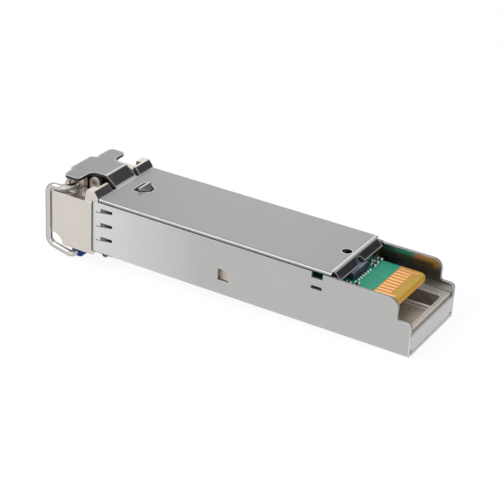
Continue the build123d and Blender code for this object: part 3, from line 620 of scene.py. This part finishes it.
def sheet_finish(name, base, rough, streak=0.5, edge=0.1, shade=None, highlight_radius=0.2):
    """Plated, faintly streaked sheet metal."""
    material, tree, shader, vector = start_material(name)
    grain = place_group(tree, grain_group(), vector, Streak=streak, Cloud=0.7)
    dark = tuple(c * 0.93 for c in base)
    light = tuple(min(1.0, c * 1.06) for c in base)
    tint = blend(tree, grain.outputs["Tone"], dark, light)
    rough = spread(tree, grain.outputs["Tone"], 0.2, 0.8, rough - 0.04, rough + 0.05)
    shader.inputs["Metallic"].default_value = 1.0
    # The last colour is that of the painted edge highlights.
    lay_metal(tree, shader, vector, tint, rough, shade, highlight_radius, (0.85, 0.85, 0.84))
    normal = bump(tree, grain.outputs["Height"], 0.06, 0.00002, edge_normal(tree, edge * MM))
    tree.links.new(normal, shader.inputs["Normal"])
    return material


def post_shade(tree, vector):
    """Nose casting: painted shade makes the rear faces of its posts a little darker; they are also smoother.
    """
    z = split_place(tree, vector)[2]
    rear = spread(tree, facing(tree)[0], 0.5, 0.6, 0.0, 1.0)
    high = spread(tree, z, 7.6 * MM, 7.8 * MM, 0.0, 1.0)
    post = product(tree, rear, high)
    # Painted shade on the rear faces of the posts, and half-strength painted edge highlights.
    return spread(tree, post, 0.0, 1.0, 1.0, 0.9), spread(tree, post, 0.0, 1.0, 1.0, 0.85), 0.5, 0.0, 0.0


def tray_shade(tree, vector):
    """Tray casting: matt and stained brownish in the pocket, with painted edge highlights."""
    z = split_place(tree, vector)[2]
    rim = spread(tree, z, 3.3 * MM, 3.55 * MM, 0.0, 1.0)
    patches = noise(tree, vector, 320.0, 3.0, 0.6)
    stain = spread(tree, patches.outputs[0], 0.45, 0.65, 1.0, 0.7)
    tone = blend(tree, rim, blend(tree, 1.0, stain, (1.0, 0.95, 0.88), "MULTIPLY"), (1.0, 1.0, 1.0))
    # Full-strength painted edge highlights.
    return tone, 1.0, 1.0, spread(tree, rim, 0.0, 1.0, 0.55, 0.25), 0.0


def cast_finish(name, base, rough, pebble=3000.0, strength=0.18, edge=0.12, shade=None, highlight_radius=0.2):
    """Satin skin of a zinc casting."""
    material, tree, shader, vector = start_material(name)
    skin = place_group(tree, cast_group(), vector, Pebble=pebble, Cloud=0.8)
    dark = tuple(c * 0.88 for c in base)
    pale = tuple(min(1.0, c * 1.08) for c in base)
    tint = blend(tree, skin.outputs["Tone"], dark, pale)
    rough = spread(tree, skin.outputs["Tone"], 0.2, 0.8, rough - 0.05, rough + 0.07)
    shader.inputs["Metallic"].default_value = 1.0
    # The last colour is that of the painted edge highlights.
    lay_metal(tree, shader, vector, tint, rough, shade, highlight_radius, (0.8, 0.76, 0.72))
    normal = bump(tree, skin.outputs["Height"], strength, 0.00003, edge_normal(tree, edge * MM))
    tree.links.new(normal, shader.inputs["Normal"])
    return material


def plain_finish(name, base, rough, metallic=0.0, coat=0.0, cloud=0.5, strength=0.05, scale=900.0, edge=0.0):
    """A moulded, plated or fired surface with cloudy tone and a little bump."""
    material, tree, shader, vector = start_material(name)
    skin = place_group(tree, cast_group(), vector, Pebble=scale * 3, Cloud=cloud)
    dark = tuple(c * 0.9 for c in base)
    light = tuple(min(1.0, c * 1.1) for c in base)
    tree.links.new(blend(tree, skin.outputs["Tone"], dark, light), shader.inputs["Base Color"])
    rough = spread(tree, skin.outputs["Tone"], 0.2, 0.8, max(0.03, rough - 0.03), rough + 0.04)
    tree.links.new(rough, shader.inputs["Roughness"])
    shader.inputs["Metallic"].default_value = metallic
    shader.inputs["Coat Weight"].default_value = coat
    normal = edge_normal(tree, edge * MM) if edge else None
    tree.links.new(bump(tree, skin.outputs["Height"], strength, 0.00002, normal), shader.inputs["Normal"])
    return material


def board_finish(mask, laminate):
    """Green solder mask with tracks and vias; bare laminate at the card edge and on the cut sides."""
    material, tree, shader, vector = start_material("board_mask")
    x, y = split_place(tree, vector)[:2]
    bare = spread(tree, x, MASK_END * MM, (MASK_END + 0.08) * MM, 0.0, 1.0)
    # Tracks: narrow bands across the board, broken up by cells
    bands = math_node(tree, "PINGPONG", math_node(tree, "ADD", y, 10 * MM), 0.4 * MM)
    narrow = spread(tree, bands, 0.10 * MM, 0.13 * MM, 1.0, 0.0)
    cells = tree.nodes.new("ShaderNodeTexVoronoi")
    cells.inputs["Scale"].default_value = 420.0
    tree.links.new(vector, cells.inputs["Vector"])
    here = spread(tree, cells.outputs["Distance"], 0.3, 0.34, 1.0, 0.0)
    track = math_node(tree, "MULTIPLY", narrow, here)
    dots = tree.nodes.new("ShaderNodeTexVoronoi")
    dots.inputs["Scale"].default_value = 620.0
    tree.links.new(vector, dots.inputs["Vector"])
    via = spread(tree, dots.outputs["Distance"], 0.10, 0.13, 1.0, 0.0)
    copper = tuple(min(1.0, c * 1.35 + 0.02) for c in mask)
    green = blend(tree, math_node(tree, "MULTIPLY", track, 0.6), mask, copper)
    green = blend(tree, math_node(tree, "MULTIPLY", via, 0.7), green, (0.10, 0.30, 0.16))
    weave = tree.nodes.new("ShaderNodeTexWave")
    weave.inputs["Scale"].default_value = 900.0
    weave.inputs["Distortion"].default_value = 1.5
    tree.links.new(vector, weave.inputs["Vector"])
    threads = math_node(tree, "MULTIPLY", weave.outputs["Fac"], 0.25)
    tan = blend(tree, threads, laminate, tuple(c * 0.7 for c in laminate))
    between = spread(tree, x, PADS_FRONT * MM, (PADS_FRONT + 0.1) * MM, 1.0, 0.0)
    tan = blend(tree, between, tan, (0.75, 0.34, 0.06))
    # Cut sides: painted shade makes the long sides dark brown, painted light the end face bright orange.
    lengthways, up = facing(tree)[::2]
    side = spread(tree, math_node(tree, "ABSOLUTE", up, 0.0), 0.5, 0.6, 1.0, 0.0)
    near_end = spread(tree, x, 37 * MM, MASK_END * MM, 0.0, 1.0)
    end = product(tree, spread(tree, lengthways, 0.1, 0.5, 0.0, 1.0), near_end)
    tan = blend(tree, side, tan, blend(tree, end, (0.16, 0.13, 0.04), (0.95, 0.47, 0.07)))
    cut = math_node(tree, "MAXIMUM", bare, side)
    tree.links.new(blend(tree, cut, green, tan), shader.inputs["Base Color"])
    tree.links.new(spread(tree, cut, 0.0, 1.0, 0.28, 0.4), shader.inputs["Roughness"])
    shader.inputs["Specular IOR Level"].default_value = 0.15
    cloth = math_node(tree, "MULTIPLY", weave.outputs["Fac"], 0.2)
    height = math_node(tree, "ADD", math_node(tree, "MULTIPLY", track, 0.6), cloth)
    tree.links.new(bump(tree, height, 0.3, 0.00003), shader.inputs["Normal"])
    return material


def package_finish(base):
    """Moulded chip package whose top faces are painted paler: a painted reflection."""
    material = plain_finish(
        "chip_package", base, 0.3, coat=0.2, cloud=0.6, strength=0.15, scale=2500.0, edge=0.05
    )
    tree = material.node_tree
    shader = tree.nodes["Principled BSDF"]
    tint = shader.inputs["Base Color"].links[0].from_socket
    # Painted reflection: faces that look up get a pale blue-grey.
    top = spread(tree, facing(tree)[2], 0.9, 0.98, 0.0, 1.0)
    tree.links.new(blend(tree, top, tint, (0.33, 0.36, 0.46)), shader.inputs["Base Color"])
    return material


def wire_finish(base):
    """Polished wire with painted shade: darker where its surface turns away from the view."""
    material = plain_finish("wire_polish", base, 0.16, metallic=1.0, scale=1500.0)
    tree = material.node_tree
    shader = tree.nodes["Principled BSDF"]
    tint = shader.inputs["Base Color"].links[0].from_socket
    # Painted shade: Layer Weight darkens the wire where it turns away from the view.
    turned = tree.nodes.new("ShaderNodeLayerWeight")
    turned.inputs["Blend"].default_value = 0.5
    rim = spread(tree, turned.outputs["Facing"], 0.25, 0.85, 1.0, 0.35)
    tree.links.new(blend(tree, 1.0, tint, rim, "MULTIPLY"), shader.inputs["Base Color"])
    return material


def dress(material, *nodes):
    """Give CAD nodes a finish."""
    for node in nodes:
        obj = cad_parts[node]
        for slot in obj.material_slots:
            slot.link = "OBJECT"
            slot.material = material


class TRANSCEIVER_OT_shell(bpy.types.Operator):
    """Finish the folded shell, cover and clamp, and make the ground fingers and the return spring."""

    bl_idname = "transceiver.shell"
    bl_label = "Shell and cover"

    def execute(self, context):
        looks = context.scene.transceiver_finishes
        side = sheet_finish("side_sheet", tuple(looks.side_steel), 0.34, shade=shell_shade, highlight_radius=0.25)
        dress(side, "lower_shell")
        dress(sheet_finish("clamp_sheet", tuple(looks.side_steel), 0.34), "optics_clamp")
        cover = sheet_finish(
            "cover_sheet", tuple(looks.cover_steel_shaded), 0.30, streak=0.35, shade=cover_shade, highlight_radius=0.35
        )
        dress(cover, "top_cover")
        spring = sheet_finish("spring_sheet", (0.7, 0.69, 0.66), 0.22, streak=0.3, edge=0.03)
        self.fingers(spring)
        self.coil(spring)
        return {"FINISHED"}

    def coil(self, spring):
        """The rocker's return spring, which the rocker's rear arm presses together."""
        deselect()
        bpy.ops.mesh.primitive_circle_add(
            vertices=12,
            radius=COIL_WIRE,
            fill_type="NGON",
            location=(COIL_RADIUS, 0, 0),
            rotation=(math.pi / 2, 0, 0),
        )
        coil = bpy.context.active_object
        settle(coil)
        turn = coil.modifiers.new("turns", "SCREW")
        turn.steps = 32
        turn.iterations = COIL_TURNS
        turn.screw_offset = (COIL_TOP - COIL_SEAT - 2 * COIL_WIRE) / COIL_TURNS
        bake_modifiers(coil)
        open_mesh()
        bpy.ops.mesh.remove_doubles(threshold=1e-7)
        bpy.ops.mesh.fill_holes(sides=0)
        bpy.ops.mesh.normals_make_consistent(inside=False)
        close_mesh()
        coil.location = (COIL_X, 0, COIL_SEAT + COIL_WIRE)
        finish(coil, "return_coil", "housing", spring, 60.0)
        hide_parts("latch_spring")
        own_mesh(coil)

    def fingers(self, spring):
        """Three bowed leaves on one strip, which stand out through the windows of the label face."""
        centre = [value * MM for value in STRIP_CENTRE]
        size = [value * MM for value in STRIP_SIZE]
        pieces = [rounded_block(centre, size, 0.03 * MM, 2)]
        bends = [bend * MM for bend in FINGER_BENDS]
        for middle in FINGER_MIDDLES:
            line = [(x * MM, (middle - FINGER_WIDTH / 2) * MM, z * MM) for x, z in FINGER_LINE]
            pieces.append(leaf_through(line, bends, FINGER_WIDTH * MM, FINGER_SHEET * MM))
        fingers = finish(join(pieces), "finger_leaves", "housing", spring, 40.0)
        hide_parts("ground_fingers")


class TRANSCEIVER_OT_nose(bpy.types.Operator):
    """Finish the nose casting, the rocker and the tray."""

    bl_idname = "transceiver.nose"
    bl_label = "Castings"

    def execute(self, context):
        looks = context.scene.transceiver_finishes
        nose = cast_finish("nose_cast", tuple(looks.nose_zinc), 0.33, shade=post_shade, highlight_radius=0.15)
        dress(nose, "nose_housing")
        rocker = cast_finish(
            "rocker_cast", (0.45, 0.43, 0.415), 0.2, pebble=3600.0, strength=0.08, edge=0.06
        )
        dress(rocker, "latch_lever")
        base = tuple(looks.tray_metal)
        tray = cast_finish("tray_cast", base, 0.42, 4200.0, strength=0.3, edge=0.1, shade=tray_shade, highlight_radius=0.3)
        dress(tray, "base_tray")
        pin = plain_finish("pin_steel", (0.35, 0.27, 0.2), 0.3, 1.0, cloud=0.4, strength=0.04, edge=0.05)
        dress(pin, "latch_pivot_pin")
        return {"FINISHED"}


class TRANSCEIVER_OT_bail(bpy.types.Operator):
    """Make the bent wire of the bail and its moulded grip."""

    bl_idname = "transceiver.bail"
    bl_label = "Bail and grip"

    def execute(self, context):
        looks = context.scene.transceiver_finishes
        sizes = context.scene.transceiver_sizes
        steel = wire_finish(tuple(looks.wire_steel))
        crank_x = AXLE_X - CRANK_OFFSET * math.cos(CRANK_ANGLE)
        crank_z = AXLE_Z - CRANK_OFFSET * math.sin(CRANK_ANGLE)
        half = [
            (CROSSBAR_X, BUTT_HALF, CROSSBAR_Z),
            (CROSSBAR_X, ARM_Y, CROSSBAR_Z),
            (LEG_X, ARM_Y, LEG_FOOT_Z),
            (LEG_X, ARM_Y, AXLE_Z),
            (AXLE_X, ARM_Y, AXLE_Z),
            (AXLE_X, CRANK_START, AXLE_Z),
            (crank_x, CRANK_HALF, crank_z),
        ]
        near = [(x * MM, -y * MM, z * MM) for x, y, z in half]
        far = [(x * MM, y * MM, z * MM) for x, y, z in reversed(half)]
        bends = [sizes.crossbar_bend] + 2 * [sizes.leg_bend] + [sizes.axle_bend] + 2 * [sizes.crank_bend]
        wire = wire_through(near + far, bends + bends[::-1], sizes.wire_radius)
        finish(wire, "bail_wire", "bail_handle", steel, 50.0)
        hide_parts("bail")
        base = tuple(looks.grip_blue)
        blue = plain_finish("grip_moulded", base, 0.3, cloud=0.4, strength=0.08, scale=1400.0)
        blue.node_tree.nodes["Principled BSDF"].inputs["Specular IOR Level"].default_value = 0.2
        size = (sizes.grip_width, sizes.grip_length, sizes.grip_height)
        grip = rounded_block((CROSSBAR_X * MM, 0, CROSSBAR_Z * MM), size, sizes.grip_radius, 5)
        finish(grip, "grip_sleeve", "bail_handle", blue)
        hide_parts("bail_grip")
        return {"FINISHED"}


class TRANSCEIVER_OT_board(bpy.types.Operator):
    """Finish the board, its pads and its parts."""

    bl_idname = "transceiver.board"
    bl_label = "Board"

    def execute(self, context):
        looks = context.scene.transceiver_finishes
        gold = plain_finish("pad_plating", tuple(looks.pad_gold), 0.2, 1.0, cloud=0.8, scale=1500.0)
        package = package_finish(tuple(looks.chip_black))
        tin = plain_finish("bright_tin", (0.88, 0.88, 0.87), 0.3, 0.4, cloud=0.4, strength=0.1, scale=1500.0)
        dress(board_finish(tuple(looks.mask_green), tuple(looks.laminate)), "circuit_board")
        dress(gold, "contact_pads_top", "contact_pads_bottom", "transmitter_pins", "receiver_pins")
        dress(package, "laser_driver", "controller_chip", "amplifier_chip", "memory_chip")
        leads = plain_finish("tin_leads", (0.45, 0.47, 0.46), 0.3, 1.0, strength=0.1, scale=1500.0)
        dress(leads, "driver_leads")
        ceramic = plain_finish("chip_ceramic", (0.05, 0.04, 0.03), 0.4, cloud=0.8, strength=0.1)
        dress(ceramic, "chip_passives_top", "chip_passives_bottom")
        pad = plain_finish("gap_pad", (0.30, 0.36, 0.45), 0.7, cloud=0.8, strength=0.3, scale=700.0)
        dress(pad, "thermal_pad")
        self.end_caps("solder_caps_top", TOP_PASSIVES, BOARD_TOP, 1, tin)
        self.end_caps("solder_caps_bottom", BOTTOM_PASSIVES, BOARD_BOTTOM, -1, tin)
        self.lead_solder(context.scene.transceiver_sizes.solder_height, tin)
        return {"FINISHED"}

    def end_caps(self, name, spots, face, way, tin):
        """Tinned ends of the small capacitors and resistors."""
        caps = []
        for x, y in spots:
            for end in (-CAP_REACH, CAP_REACH):
                centre = ((x + end) * MM, y * MM, (face + way * CAP_RISE) * MM)
                caps.append(rounded_block(centre, CAP_SIZE, 0.05 * MM, 2))
        finish(join(caps), name, "housing", tin)

    def lead_solder(self, height, tin):
        """Drops of solder at the toes of the driver's leads, cut flat at the top of the board."""
        drops = []
        toe_x, middle_y = LEAD_TOES
        for index in range(LEAD_COUNT):
            across = middle_y + (index - (LEAD_COUNT - 1) / 2) * LEAD_PITCH
            place = (toe_x * MM, across * MM, BOARD_TOP * MM)
            deselect()
            bpy.ops.mesh.primitive_ico_sphere_add(subdivisions=3, radius=DROP_RADIUS, location=place)
            drop = bpy.context.active_object
            drop.scale = (1.1, 1.0, height / DROP_RADIUS)
            settle(drop)
            open_mesh()
            bpy.ops.mesh.bisect(plane_co=place, plane_no=(0, 0, 1), use_fill=True, clear_inner=True)
            close_mesh()
            drops.append(drop)
        finish(join(drops), "lead_solder", "housing", tin, 60.0)


class TRANSCEIVER_OT_optics(bpy.types.Operator):
    """Finish the barrels, sleeves, cans and flex circuits."""

    bl_idname = "transceiver.optics"
    bl_label = "Optics"

    def execute(self, context):
        looks = context.scene.transceiver_finishes
        steel = sheet_finish("turned_steel", (0.60, 0.59, 0.57), 0.25, streak=0.3, edge=0.05)
        dress(steel, "transmitter_barrel", "receiver_barrel")
        white = plain_finish("zirconia", tuple(looks.zirconia), 0.2, coat=0.3, cloud=0.3, strength=0.03)
        dress(white, "transmitter_sleeve", "receiver_sleeve", "transmitter_stub", "receiver_stub")
        gold = plain_finish("gold_can", (0.85, 0.60, 0.24), 0.25, metallic=1.0)
        dress(gold, "transmitter_can", "receiver_can")
        film = plain_finish("flex_film", tuple(looks.flex_amber), 0.3, coat=0.3, strength=0.1)
        dress(film, "transmitter_flex", "receiver_flex")
        return {"FINISHED"}


class TRANSCEIVER_OT_stage(bpy.types.Operator):
    """Set up the floor, the studio light and the camera."""

    bl_idname = "transceiver.stage"
    bl_label = "Stage"

    def execute(self, context):
        scene = context.scene
        scene.view_settings.view_transform = "Standard"
        # The module rests on its grip and on the rear edge of its label face
        tilt = math.atan2(GRIP_DEPTH, REST_SPAN)
        deselect()
        bpy.ops.mesh.primitive_grid_add(x_subdivisions=8, y_subdivisions=8, size=6.0)
        floor = context.active_object
        floor.name = "floor"
        turn = Matrix.Translation((REAR_X, 0, -FLOOR_GAP)) @ Matrix.Rotation(-tilt, 4, "Y")
        floor.data.transform(turn)
        material = bpy.data.materials.new("studio_floor")
        material.use_nodes = True
        tree = material.node_tree
        shader = tree.nodes["Principled BSDF"]
        shader.inputs["Base Color"].default_value = (0.85, 0.85, 0.85, 1)
        shader.inputs["Roughness"].default_value = 0.8
        glow = tree.nodes.new("ShaderNodeEmission")
        glow.inputs["Color"].default_value = (1, 1, 1, 1)
        glow.inputs["Strength"].default_value = FLOOR_GLOW
        seen = self.seen_rays(tree)
        mix = tree.nodes.new("ShaderNodeMixShader")
        share = math_node(tree, "MULTIPLY", seen, FLOOR_SHARE)
        tree.links.new(share, mix.inputs[0])
        tree.links.new(shader.outputs[0], mix.inputs[1])
        tree.links.new(glow.outputs[0], mix.inputs[2])
        tree.links.new(mix.outputs[0], tree.nodes["Material Output"].inputs["Surface"])
        floor.data.materials.append(material)
        # A dark card that faces turned to the rear mirror, and the cover when it is seen from the front
        deselect()
        bpy.ops.mesh.primitive_grid_add(x_subdivisions=2, y_subdivisions=2, size=1.0)
        card = context.active_object
        card.name = "dark_card"
        toward = Vector(CARD_WAY).normalized()
        card.scale = CARD_SIZE
        card.rotation_euler = toward.to_track_quat("Z", "Y").to_euler()
        card.location = toward * CARD_DISTANCE
        settle(card)
        card.visible_camera = False
        card.visible_diffuse = False
        card.visible_shadow = False
        navy = bpy.data.materials.new("dark_card")
        navy.use_nodes = True
        shader = navy.node_tree.nodes["Principled BSDF"]
        shader.inputs["Base Color"].default_value = (0.012, 0.015, 0.03, 1)
        shader.inputs["Roughness"].default_value = 0.9
        card.data.materials.append(navy)
        # World: white where it is seen or mirrored, softer where it lights
        world = bpy.data.worlds.new("studio")
        scene.world = world
        world.use_nodes = True
        tree = world.node_tree
        back = tree.nodes["Background"]
        back.inputs["Color"].default_value = (1, 1, 1, 1)
        seen = self.seen_rays(tree)
        tree.links.new(spread(tree, seen, 0.0, 1.0, 0.55, 1.0), back.inputs["Strength"])
        for settings in LAMPS:
            self.lamp(*settings)
        self.camera(scene)
        return {"FINISHED"}

    def seen_rays(self, tree):
        """One where a camera, mirror or glass ray arrives, else zero."""
        path = tree.nodes.new("ShaderNodeLightPath")
        first = math_node(tree, "MAXIMUM", path.outputs["Is Camera Ray"], path.outputs["Is Glossy Ray"])
        return math_node(tree, "MAXIMUM", first, path.outputs["Is Transmission Ray"])

    def lamp(self, name, direction, distance, size, power):
        """A square soft light aimed at the object's middle."""
        aim = Vector(LAMP_AIM)
        way = Vector(direction).normalized()
        data = bpy.data.lights.new(name, "AREA")
        data.size = size
        data.energy = power
        lamp = bpy.data.objects.new(name, data)
        lamp.location = aim + way * distance
        lamp.rotation_euler = way.to_track_quat("Z", "Y").to_euler()
        bpy.context.scene.collection.objects.link(lamp)

    def camera(self, scene):
        """The camera at the photograph's angle."""
        azimuth, elevation, roll = map(math.radians, (CAMERA_AZIMUTH, CAMERA_ELEVATION, CAMERA_ROLL))
        level = math.cos(elevation)
        back = Vector((math.sin(azimuth) * level, -math.cos(azimuth) * level, math.sin(elevation)))
        right = Vector((math.cos(azimuth), math.sin(azimuth), 0))
        up = back.cross(right)
        turned_right = math.cos(roll) * right + math.sin(roll) * up
        turned_up = math.cos(roll) * up - math.sin(roll) * right
        eye = Vector(CAMERA_AIM) + CAMERA_RIGHT * turned_right - CAMERA_DOWN * turned_up
        eye += CAMERA_DISTANCE * back
        data = bpy.data.cameras.new("camera")
        data.sensor_width = CAMERA_SENSOR
        data.lens = CAMERA_LENS
        data.clip_start = 0.005
        camera = bpy.data.objects.new("camera", data)
        place = Matrix((turned_right, turned_up, back)).transposed().to_4x4()
        place.translation = eye
        camera.matrix_world = place
        scene.collection.objects.link(camera)
        scene.camera = camera


class TRANSCEIVER_PT_panel(bpy.types.Panel):
    """Lists the steps of the dressing."""

    bl_label = "Transceiver"
    bl_idname = "TRANSCEIVER_PT_panel"
    bl_space_type = "VIEW_3D"
    bl_region_type = "UI"
    bl_category = "Transceiver"

    def draw(self, context):
        for step in STEPS:
            self.layout.operator(step.bl_idname)
        for group in (context.scene.transceiver_finishes, context.scene.transceiver_sizes):
            box = self.layout.box()
            for key in group.bl_rna.properties.keys():
                if key not in ("rna_type", "name"):
                    box.prop(group, key)


STEPS = (
    TRANSCEIVER_OT_shell,
    TRANSCEIVER_OT_nose,
    TRANSCEIVER_OT_bail,
    TRANSCEIVER_OT_board,
    TRANSCEIVER_OT_optics,
    TRANSCEIVER_OT_stage,
)
CLASSES = (FinishSettings, SizeSettings, *STEPS, TRANSCEIVER_PT_panel)


def register():
    """Register the classes and the settings."""
    for part in CLASSES:
        bpy.utils.register_class(part)
    bpy.types.Scene.transceiver_finishes = bpy.props.PointerProperty(type=FinishSettings)
    bpy.types.Scene.transceiver_sizes = bpy.props.PointerProperty(type=SizeSettings)


def unregister():
    """Take back what register did."""
    del bpy.types.Scene.transceiver_sizes
    del bpy.types.Scene.transceiver_finishes
    for part in reversed(CLASSES):
        bpy.utils.unregister_class(part)


def main():
    """Run every step."""
    register()
    for step in STEPS:
        group, name = step.bl_idname.split(".")
        result = getattr(getattr(bpy.ops, group), name)()
        if result != {"FINISHED"}:
            raise RuntimeError(step.bl_idname)


if __name__ == "__main__":
    main()
